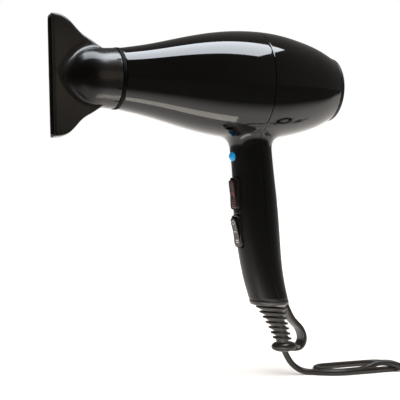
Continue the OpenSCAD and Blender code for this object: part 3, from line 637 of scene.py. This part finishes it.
def housing(name, side, openings):
    """One half of the casing. The barrel is a surface of revolution with a window around the grip's root.
    Rows of a second grid narrow that window to the root's outline, rise out of it along a Bezier fillet
    tangent to the barrel and to the grip, and run down the grip. Its first and last columns are the seam.
    Each opening has a lowest and a highest level, and a radius where it is a round hole."""
    many = np.linspace(0, 0.5, 2001)[1:-1]
    width = abs(WINDOW[side] - SEAM_X)
    many_x, many_turn = root_curve(side, many)
    corner = np.interp(0, np.abs(many_x - SEAM_X) / width - np.abs(many_turn) / WINDOW_TURN, many)
    opening = np.interp(-OPENING_Y, -np.abs(grip_point(side, 0.0, many)[:, 1]), many)
    plain = np.linspace(0.022, 0.5, 26)
    plain = plain[np.abs(plain[:, None] - [corner, opening]).min(axis=1) > 0.005]
    half = np.sort(np.r_[0, 0.0004, 0.0012, 0.0028, 0.0055, 0.0095, 0.015, plain, corner, opening])
    s = np.r_[half, 1 - half[::-1][1:]]
    n, at = len(s), np.argmin(np.abs(s - corner))

    foot_x, foot_turn = root_curve(side, s)
    grow = np.minimum(width / np.maximum(np.abs(foot_x - SEAM_X), 1e-9),
                      WINDOW_TURN / np.maximum(np.abs(foot_turn), 1e-9))
    edge_x, edge_turn = SEAM_X + (foot_x - SEAM_X) * grow, foot_turn * grow
    edge_x[at:n - at] = WINDOW[side]
    edge_turn[:at + 1] = np.sign(foot_turn[0]) * WINDOW_TURN
    edge_turn[n - 1 - at:] = -edge_turn[0]

    # Barrel
    end = BARREL_ENDS[side]
    lip = np.array([0, 0.06, 0.18, 0.4, 0.8, 1.4, 2.2]) * MM
    plain_x = np.linspace(WINDOW[side], end - side * 3.2 * MM, 32)[1:]
    x = np.r_[edge_x[:at + 1], plain_x, (end - side * lip)[::-1]]
    near = edge_turn[at:n - at]
    far = np.linspace(near[-1], near[0] - np.sign(near[0]) * 2 * np.pi, 120)[1:-1]
    grid_x, grid_turn = np.meshgrid(x, np.r_[near, far], indexing="ij")
    keep = np.ones((len(x) - 1, grid_x.shape[1]), bool)
    keep[:at, :len(near) - 1] = False
    skin, outs = barrel_point(grid_x, grid_turn), barrel_normal(grid_x, grid_turn)
    shape = Shape().grid(groove(skin, outs, np.abs(grid_x - SEAM_X)), round_cols=True, keep=keep)

    # Window, root, fillet and grip
    t = np.linspace(0, 1, 9)[:, None]
    patch_x, patch_turn = edge_x + (foot_x - edge_x) * t, edge_turn + (foot_turn - edge_turn) * t
    patch = barrel_point(patch_x, patch_turn)
    foot, top = patch[-1], grip_point(side, ROOT_Z, s)
    outward = unit(patch[-2] - foot)
    upward = unit(top - grip_point(side, ROOT_Z - 1 * MM, s))
    pull = np.linalg.norm(top - foot, axis=1, keepdims=True)
    u = np.linspace(0, 1, 22)[1:-1, None, None]
    fillet = ((1 - u)**3 * foot + 3 * (1 - u)**2 * u * (foot - 0.4 * pull * outward) + 3 * (1 - u) * u**2 *
              (top + 0.52 * pull * upward) + u**3 * top)
    ends = np.array([z for low, high, _ in openings for z in (low, high)])
    levels = np.linspace(ROOT_Z, GRIP_BOTTOM, 64)
    levels = levels[np.r_[True, np.abs(levels[1:-1, None] - ends).min(axis=1) > 0.8 * MM, True]]
    levels = np.unique(np.r_[levels, ends])[::-1]
    points = np.concatenate([patch, fillet, grip_point(side, levels[:, None], s[None, :])])
    normals = normals_of(points)
    normals *= np.sign(side * normals[-1, n // 2, 0])
    normals[:len(patch)] = barrel_normal(patch_x, patch_turn)
    points = groove(points, normals, np.abs(points[..., 0] - points[:, :1, 0]))
    keep = np.ones((len(points) - 1, n - 1), bool)
    first, left = len(points) - len(levels), np.argmin(np.abs(s - opening))
    for low, high, radius in openings:
        above, below = first + np.argmin(np.abs(levels - high)), first + np.argmin(np.abs(levels - low))
        keep[above:below, left:n - 1 - left] = False
        if radius:
            round_hole(shape, points[above:below + 1, left:n - left], side, (low + high) / 2, radius)
    shape.grid(points, keep=keep, flip=True)
    return shape.piece(name + "_shell", "dryer", "gloss_black_housing", FINISHES["gloss_black_housing"],
                       replaces=(name,), wall=WALL)


# The button's hole and the two rockers' openings in front; two screws' holes behind
front_openings = MM * np.array([(60.3, 69.7, 4.05), (21.7, 47.3, 0), (-9.2, 16.2, 0)])
rear_openings = MM * np.array([(49.7, 59.3, 3.4), (-22.3, -12.7, 3.4)])
housing("front_housing", -1, front_openings)
housing("rear_housing", 1, rear_openings)


# --- Concentrator nozzle ---

NOZZLE_TURN = math.radians(-5)
PLATE_HALF_THICK, PLATE_POWER = 6.5 * MM, 12
COLLAR_BORE = 21.7 * MM
SLITS = np.array([-63, -121, -149]) % 360
nozzle_half = spline([[-177, 47.5], [-171, 47], [-164, 43.7], [-154, 33.5], [-147, 29], [-142, 25.8],
                      [-137, 22.4], [-126, 10]])
nozzle_round = spline([[-177, 1.5], [-171, 3.7], [-169, 6.3], [-164, 12.4], [-158, 18.2], [-151, 22],
                       [-145, 23.1], [-138, 23.05], [-132, 23.4], [-126, 23.9]])


def nozzle_radius(x, a, inset):
    """Distance of the nozzle's skin from its axis, at an angle a from upright: the flat part is a
    superellipse 13 mm thick, and the round part a circle. The larger counts, with a fillet added:
    max(k - gap, 0)^2 / 4k, where gap is how far they differ and k is the fillet's size."""
    half, thick = np.maximum(nozzle_half(x) - inset, 1 * MM), PLATE_HALF_THICK - inset
    flat = (np.abs(np.sin(a)) / thick) ** PLATE_POWER + (np.abs(np.cos(a)) / half) ** PLATE_POWER
    flat = flat ** (-1 / PLATE_POWER)
    ring = np.maximum(nozzle_round(x) - inset, 0.5 * MM)
    k = (0.2 + 7 * smoothstep((-136 - x / MM) / 12)) * MM
    return np.maximum(flat, ring) + np.maximum(k - np.abs(flat - ring), 0) ** 2 / (4 * k)


def nozzle():
    """A closed band of rows: back along the outside, round the collar's rear rim, and forward inside. Three
    short slits in the collar's outside are pulled in, with their own columns."""
    outer = np.r_[np.linspace(-175.2, -140, 52), np.linspace(-139, -131.5, 6), -130.8, -130.4, -129.5, -128.4]
    inner = np.r_[-129, -131, -134, -136.5, np.linspace(-139.2, -175.6, 30)]
    rim = [[-177, 0.7], [-176.9, 0.35], [-176.6, 0.08], [-176.2, 0], [-175.6, 0], [-175.4, 0.25]]
    cuff = [[-127.5, 0], [-127.15, 0.1], [-127, 0.4], [-127, 1.7], [-127.15, 2], [-127.5, 2.1]]
    inside = np.column_stack([inner, np.where(inner > -138.5, 2.1, 1.8)])
    start = [[-176.4, 1.8], [-176.9, 1.6], [-177, 1.3]]
    line = MM * np.vstack([rim, np.column_stack([outer, 0 * outer]), cuff, inside, start])
    quarter = np.r_[0, 1.5, 3, 4.2, np.arange(5, 18, 0.5), 18, 19, 20, 22, 24, 27, 30, 34, 38, 43, 49, 56,
                    64, 73, 82, 90]
    whole = np.r_[quarter, 180 - quarter, 180 + quarter, 360 - quarter]
    offsets = np.array([-1.1, -0.75, 0, 0.75, 1.1])
    whole = whole[np.abs(whole[:, None] - SLITS).min(axis=1) > 1.6]
    a = np.radians(np.unique(np.round(np.r_[whole, (SLITS[:, None] + offsets).ravel()] % 360, 3)))[None, :]
    x, inset = line[:, :1], line[:, 1:]
    r = nozzle_radius(x, a, inset)
    bore = (inset > 1.9 * MM) & (x > -138.5 * MM)
    r = np.where(bore, COLLAR_BORE + 0 * a, r)
    away = np.abs((np.degrees(a)[..., None] - SLITS + 180) % 360 - 180).min(axis=-1)
    cut = smoothstep((1.1 - away) / 0.35) * smoothstep((x / MM + 130.8) / 0.4) * (inset < 1 * MM)
    r = r - 1.2 * MM * cut
    a = a + 0 * x
    y, z = r * np.sin(a), r * np.cos(a)
    c, d = math.cos(NOZZLE_TURN), math.sin(NOZZLE_TURN)
    points = np.stack([x + 0 * a, c * y - d * z, d * y + c * z + BARREL_Z], axis=-1)
    return Shape().grid(points, round_rows=True, round_cols=True, flip=True).piece(
        "concentrator", "nozzle", "nozzle_satin_black", FINISHES["nozzle_satin_black"],
        replaces=("concentrator_nozzle",), sharp=50)


concentrator = nozzle()


# --- Strain relief ---

boot_x = spline([[-93.8, 25.6], [-87, 23.8], [-82.8, 22.3], [-78.3, 20.6], [-74, 18.7], [-69.6, 17],
                 [-65.3, 15.3], [-61, 13.6], [-56, 11.6]])
RIB_LEVELS = np.array([-61, -65.3, -69.6, -74, -78.3, -82.8, -87])
RIB_RADII = np.array([13.4, 11.9, 10.6, 9.7, 9, 8.5, 8.2])
STRAP_LINE = [[24, 0, -56], [26.4, 0, -61.4], [28.6, 0, -65.7], [31.2, 0, -70], [35.2, 0, -74.5],
              [39.6, 0, -79], [42, 0, -83.4], [42.9, 0, -87.7], [42, 0, -92], [38.7, 0, -95.4],
              [33, 0, -96.2], [28, 0, -95.5]]
RIB_LEAN = 0.08


def relief():
    """Collar, ribs and neck in one stack of level rings, an oval bead below, and a flat strap swept beside
    them. A rib's plane drops by RIB_LEAN for each millimetre backward."""
    a = -full_turn(64)
    x0, half = float(grip_middle(GRIP_BOTTOM)) / MM, float(grip_half(GRIP_BOTTOM)) / MM
    # Each ring: middle x, level, half length, half width, power, lean
    rings = [[x0, -55, half - 3, 13, 2.2, 0], [x0, -54.1, half - 3, 13, 2.2, 0],
             [x0, -54.1, half - 0.5, 15.5, 2.2, 0], [x0, -54.3, half, 16, 2.2, 0],
             [x0 + 0.1, -54.7, half + 0.25, 16.25, 2.2, 0], [x0 + 0.5, -56.2, half + 0.2, 16.1, 2.2, 0],
             [x0 + 0.9, -57.5, half - 0.2, 15.3, 2.2, 0], [x0 + 1.1, -58, half - 0.7, 14.7, 2.2, 0],
             [x0 + 1.2, -58.2, half - 1.3, 14, 2.15, 0]]
    for level, r in zip(RIB_LEVELS, RIB_RADII):
        middle, core = float(boot_x(level * MM)) / MM, r - 2.6
        upper = [[1.5, core], [1.05, core + 0.25], [0.9, core + 0.7], [0.85, r - 0.6], [0.55, r - 0.12]]
        for up, out in upper + [[0, r]] + [[-up, out] for up, out in upper[::-1]]:
            rings.append([middle, level + up, out, 0.95 * out, 2, RIB_LEAN])
    rings.append([25, -92, 5.4, 5.1, 2, 0])
    x, z, long, wide, power, lean = (column[:, None] for column in np.array(rings).T)
    across = long * squared(np.cos(a), power)
    stack = np.stack([x + across, wide * squared(np.sin(a), power), z - lean * across], axis=-1)
    shape = Shape().tube(MM * stack)
    t = np.radians(np.linspace(86, -86, 23))[:, None]
    shrink = np.cos(t) ** 0.7
    bead = [25.6 + 11 * shrink * np.cos(a), 9.5 * shrink * np.sin(a), -94.2 + 4.4 * np.sin(t) + 0 * a]
    shape.tube(MM * np.stack(bead, axis=-1))
    strap = carried(smooth_path(STRAP_LINE, 5) * MM, rounded_box(4 * MM, 12 * MM, 1.1 * MM), (0, 1, 0))
    shape.tube(strap, flip=True)
    return shape.piece("strain_relief_boot", "dryer", "relief_rubber", FINISHES["relief_rubber"],
                       replaces=("strain_relief",), sharp=50)


relief_boot = relief()


def pip():
    """Small moulded button that ends the strap, on its side: a flattened dome of radius 1.4 mm."""
    a, t = full_turn(24), np.linspace(0.03, 1, 8)[:, None]
    out = np.vstack([-6.0 - 0.7 * np.sqrt(np.maximum(1 - t**2, 0)), [[-5.4]]])
    r = 1.4 * np.vstack([t, [[1.0]]])
    points = np.stack([36.4 + r * np.cos(a), out + 0 * a, -94.6 + r * np.sin(a)], axis=-1)
    grey = satin("pip_grey", (0.10, 0.097, 0.09), (0.14, 0.135, 0.127), 0.4)
    return Shape().tube(MM * points, flip=True).piece("strap_pip", "dryer", "relief_rubber", grey)


pip()


# --- Switches and button ---

# Each switch's x, height and lean in degrees
SWITCHES = {"heat": (-20.8, 34.5, -2), "speed": (-18.2, 3.5, -8)}
PIVOT = np.array([3 * MM, 0, 0])
ROCKER_TIP = 6
PAD_FACE, DIP, MARKS_HALF = -2.5, 0.5, 11.5


def tilted(points, degrees):
    """Points turned about the Y axis."""
    c, d = math.cos(math.radians(degrees)), math.sin(math.radians(degrees))
    x, y, z = points[..., 0], points[..., 1], points[..., 2]
    return np.stack([x * c + z * d, y, z * c - x * d], axis=-1)


def at_face(points, place):
    """Carries a rocker's points from its own frame, where -X is outward, to its place on the grip's front. It
    is tipped about its pivot first."""
    x, z, lean = place
    tipped = tilted(points - PIVOT, -ROCKER_TIP) + PIVOT
    return tilted(tipped, lean) + [x * MM, 0, z * MM]


def hollow(z, half):
    """How far a rocker's face lies in at z: DIP in its middle, falling evenly to nothing at both ends."""
    return DIP * (1 - np.abs(z) / half)


def slab(width, height, corner, x):
    """A rounded rectangle at x, as one row."""
    return np.insert(rounded_box(width, height, corner, 7), 0, x, axis=1)


def pad(width, length, corner, face, depth, edge=0.5):
    """Rocker's pad: rounded rectangles from its back to its rolled edge, then drawn in across its face, which
    lies deeper by the hollow."""
    edges = [[depth, 0], [face + edge, 0], [face + 0.3 * edge, 0.12], [face + 0.06 * edge, 0.35]]
    rows = [slab(width - 2 * inset, length - 2 * inset, corner - inset, x) for x, inset in edges]
    rim = slab(width - 0.9, length - 0.9, corner - 0.45, face)
    rows = np.array(rows + [rim * [1, share, share] for share in (0.94, 0.8, 0.6, 0.4, 0.2, 0.05)])
    rows[1:, :, 0] += hollow(rows[1:, :, 2], length / 2)
    return MM * rows


def bar(width, height, z, face):
    """Small raised bar on a rocker's face, as rows for a tube."""
    corner = 0.2 * min(width, height)
    return MM * np.array([
        np.insert(rounded_box(width * grow, height * grow, corner) + [0, z], 0, x, axis=1)
        for x, grow in [[face + 0.9, 1], [face - 0.18, 1], [face - 0.22, 0.8]]])


def mark_ring(z, radius, face):
    """Small raised ring on a rocker's face, as a torus that is wider than it is high."""
    a, b = full_turn(28), full_turn(8).T
    r = radius + 0.22 * np.cos(b)
    return MM * np.stack([face + 0.22 * np.sin(b) + 0 * a, 1.4 * r * np.cos(a), z + r * np.sin(a)], axis=-1)


def rocker(name, finish_name, bars, rings, mark_finish):
    """The rocker's pad, and its marks as a piece of their own. A bar has a width, a height and a z, and a
    ring has a z and a radius."""
    place, body = SWITCHES[name], name + "_rocker"
    Shape().tube(at_face(pad(9.4, 23.1, 2.6, PAD_FACE, 2), place)).piece(
        body + "_pad", body, finish_name, FINISHES[finish_name], replaces=(body,))
    marks = Shape()
    for width, height, z in bars:
        marks.tube(at_face(bar(width, height, z, PAD_FACE + hollow(z, MARKS_HALF)), place))
    for z, radius in rings:
        ring = mark_ring(z, radius, PAD_FACE + hollow(z, MARKS_HALF))
        marks.grid(at_face(ring, place), round_rows=True, round_cols=True)
    marks.piece(name + "_marks", body, finish_name, mark_finish)


rocker("heat", "rocker_dark_red", [(4.6, 0.5, z) for z in (0.9, -0.6, -5.4, -7.2, -9)], [],
       satin("mark_red", (0.16, 0.022, 0.014), (0.20, 0.03, 0.02), 0.4))
rocker("speed", "rocker_black", [(5, 0.7, 0.2), (4.6, 0.55, -6.9), (4.6, 0.55, -8.5)], [(8, 1.5)],
       satin("mark_white", (0.5, 0.5, 0.49), (0.6, 0.6, 0.59), 0.45))


def button_cap():
    """The cool-shot button: a dome 2 mm high, a rolled edge, and a short straight side."""
    t = np.linspace(0.02, 1, 14)
    dome = np.column_stack([2.0 * t**2.2 - 3, 3.6 * t])
    line = np.vstack([dome, [[-0.85, 3.72], [-0.6, 3.75], [3.4, 3.75]]])
    return Shape().tube(MM * turned(line, [-22.9, 0, 65], 40), flip=True).piece(
        "cool_shot_cap", "cool_shot_button", "button_blue", FINISHES["button_blue"],
        replaces=("cool_shot_button",))


button_cap()


# --- Plug and tie ---

PLUG_AT = np.array([226, 10, -101])
PLUG_SIDES = 56


def plug_pieces():
    """The plug's boot is turned, with three ribs. Its body is turned too, and cut flat above and below, where
    the flats draw in at its front edge."""
    boot = [[-22, 2.9], [-22, 3.7], [-21.7, 4]]
    for z in (4, 9, 14):
        core, rib = 4 + 3.5 * z / 22, 5.6 + 0.14 * z
        boot += [[z - 22.3, core], [z - 22, core + 0.3], [z - 21.9, rib - 0.4], [z - 21.5, rib],
                 [z - 20.7, rib], [z - 20.3, rib - 0.4], [z - 20.2, core + 0.5], [z - 19.8, core + 0.2]]
    boot += [[-3, 7], [0, 7.5]]
    body = turned([[0.1, 8], [0.1, 10.6], [0.3, 11.6], [0.9, 12.4], [9, 17.6], [9.9, 17.95], [11, 18],
                   [22.6, 18], [23.5, 17.8], [23.9, 17.3], [24.05, 16.4], [24.05, 9]], [0, 0, 0], PLUG_SIDES)
    flat = 17 - 0.25 * np.clip(1 - (24.05 - body[..., 0]) / 1.2, 0, 1)
    body[..., 2] = np.clip(body[..., 2], -flat, flat)
    return [Shape().tube(MM * points, flip=True).piece(name, "dryer", "plug_rubber", FINISHES["plug_rubber"],
                                                       replaces=(node,))
            for points, name, node in ((turned(boot, PLUG_AT, PLUG_SIDES), "plug_strain_boot", "plug_boot"),
                                       (PLUG_AT + body, "plug_moulding", "plug_body"))]


plug_boot, plug_moulding = plug_pieces()


def hook_tie():
    """Closed loop around the coil's bundle, across the X axis, swept with a thin flat section whose edges are
    rounded."""
    loop = rounded_box(17, 21.1, 2.2, 8) + [-64, FLOOR_Z / MM + 11.1]
    path = np.insert(np.vstack([loop, loop[:1]]), 0, COIL_MIDDLE[0], axis=1)
    path = even_path(path, 1.0)[:-1]
    heading = unit(np.roll(path, -1, axis=0) - np.roll(path, 1, axis=0))
    out = np.cross(heading, [1.0, 0, 0])
    section = rounded_box(0.9, 7, 0.3, 3)[None, :, :, None]
    points = path[:, None, :] + section[:, :, 0] * out[:, None, :] + section[:, :, 1] * np.array([1.0, 0, 0])
    return Shape().grid(MM * points, round_rows=True, round_cols=True).piece(
        "cord_tie", "dryer", "tie_black", FINISHES["tie_black"], replaces=("coil_tie",))


cord_tie = hook_tie()
for low_piece in (mains_lead, cord_tie, plug_boot, plug_moulding, relief_boot):
    low_piece.visible_glossy = False


# --- Finishes of the shown frame parts ---

slots = {part["node"]: part["material_slot"] for part in frame["record"]["subparts"]}
for node_name, shown in nodes.items():
    for place in shown.material_slots:
        if node_name not in covered:
            place.material = FINISHES[slots[node_name]]


# --- Stage and light ---


def ground(name, height, finish):
    """A single level face, far wider than the view, that isn't part of the object."""
    mesh = bpy.data.meshes.new(name)
    corners = [(x, y, height) for x, y in ((-30, -8), (30, -8), (30, 60), (-30, 60))]
    mesh.from_pydata(corners, [], [(0, 1, 2, 3)])
    mesh.materials.append(finish)
    made = into_scene(name, mesh)
    return made


def floor_finish():
    """Pale matt floor with a slight mottle, and a soft broad sheen."""
    f = Finish("studio_floor")
    cloud = f.noise(3, 3)
    colour = f.blend(cloud, rgb(0.83, 0.845, 0.86), rgb(0.86, 0.875, 0.89))
    return f.done(colour, f.between(cloud, 0.3, 0.7, 0.55, 0.62), f.bump(f.noise(800, 2), 0.00002))


def flag_finish():
    """Black cloth that fades in with distance in front of the object and to its left."""
    f = Finish("black_flag")
    x, y, _ = f.axes()
    in_front = f.between(y * -1.0, 0.09, 0.30, 0.0, 0.94)
    alpha = f.math("MAXIMUM", in_front, f.between(x * -1.0, 0.26, 0.6, 0.0, 0.92))
    colour = f.blend(f.noise(40, 2), rgb(0.004, 0.004, 0.004), rgb(0.008, 0.008, 0.008))
    return f.done(colour, 0.9, Alpha=alpha)


ground("floor", FLOOR_Z - 0.02 * MM, floor_finish())
flag = ground("flag", FLOOR_Z + MM, flag_finish())
flag.visible_camera = flag.visible_shadow = flag.visible_diffuse = False


def softbox(name, middle, size, turns, strength, colour):
    """Rectangular area light, which faces down until it is turned; it doesn't show itself."""
    data = bpy.data.lights.new(name, "AREA")
    data.shape, data.size, data.size_y = "RECTANGLE", size[0], size[1]
    data.energy, data.color = strength * math.pi * size[0] * size[1], colour
    made = into_scene(name, data)
    made.location, made.rotation_euler = middle, turns
    made.visible_camera = False
    return made


overhead = softbox("overhead", (-0.0393, -0.0771, 0.70), (0.793, 0.357), (0, 0, CAMERA_TURN), 11.3,
                   (0.93, 0.985, 1.05))
low_strip = softbox("low_strip", (-0.0425, -0.05, -0.112), (0.135, 0.06), (math.pi, 0, 0), 3.4,
                    (1, 0.92, 0.82))
low_strip.visible_diffuse = overhead.visible_diffuse = False

# A soft light from the front right that only the nozzle takes
side_light = softbox("side_light", (0.45, -1.0, 0.10), (1.1, 0.9), (math.radians(90), 0, math.radians(34)),
                     0.42, (1, 0.88, 0.74))
side_light.light_linking.receiver_collection = bpy.data.collections.new("side_lit")
side_light.light_linking.receiver_collection.objects.link(concentrator)

sun_data = bpy.data.lights.new("fill", "SUN")
sun_data.energy, sun_data.angle, sun_data.color = 6.2, math.radians(80), (1, 0.93, 0.87)
sun = into_scene("fill", sun_data)
sun.rotation_euler = (math.radians(18), math.radians(-12), 0)
sun.visible_glossy = False


def surroundings():
    """White to the camera. To everything else, dim grey: darkest in front and to the left, lighter to the
    right and behind, and a little warm."""
    world = bpy.data.worlds.new("studio")
    bpy.context.scene.world = world
    world.use_nodes = True
    tree = world.node_tree
    parts, total, tint, pick = (tree.nodes.new("ShaderNode" + kind)
                                for kind in ("SeparateXYZ", "Math", "VectorMath", "Mix"))
    tree.links.new(tree.nodes.new("ShaderNodeTexCoord").outputs["Generated"], parts.inputs[0])
    # Rightward and backward: where each starts and ends, and how light it is there
    for axis, span in enumerate([(-0.4, 1.0, 0.0, 0.11), (-0.6, 0.8, 0.07, 0.15)]):
        ramp = tree.nodes.new("ShaderNodeMapRange")
        ramp.interpolation_type = "SMOOTHSTEP"
        for key, value in zip(("From Min", "From Max", "To Min", "To Max"), span):
            ramp.inputs[key].default_value = value
        tree.links.new(parts.outputs[axis], ramp.inputs["Value"])
        tree.links.new(ramp.outputs["Result"], total.inputs[axis])
    tint.operation, pick.data_type = "SCALE", "RGBA"
    tint.inputs[0].default_value = (1.0, 0.96, 0.90)
    tree.links.new(total.outputs[0], tint.inputs["Scale"])
    colours = [socket for socket in pick.inputs if socket.type == "RGBA"]
    tree.links.new(tree.nodes.new("ShaderNodeLightPath").outputs["Is Camera Ray"], pick.inputs[0])
    tree.links.new(tint.outputs[0], colours[0])
    colours[1].default_value = rgb(1, 1, 1)
    result = next(socket for socket in pick.outputs if socket.type == "RGBA")
    tree.links.new(result, tree.nodes["Background"].inputs["Color"])


surroundings()
bpy.context.scene.view_settings.view_transform = "Standard"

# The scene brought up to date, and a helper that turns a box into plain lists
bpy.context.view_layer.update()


def plain(box):
    return [[float(v) for v in corner] for corner in box] if box is not None else None
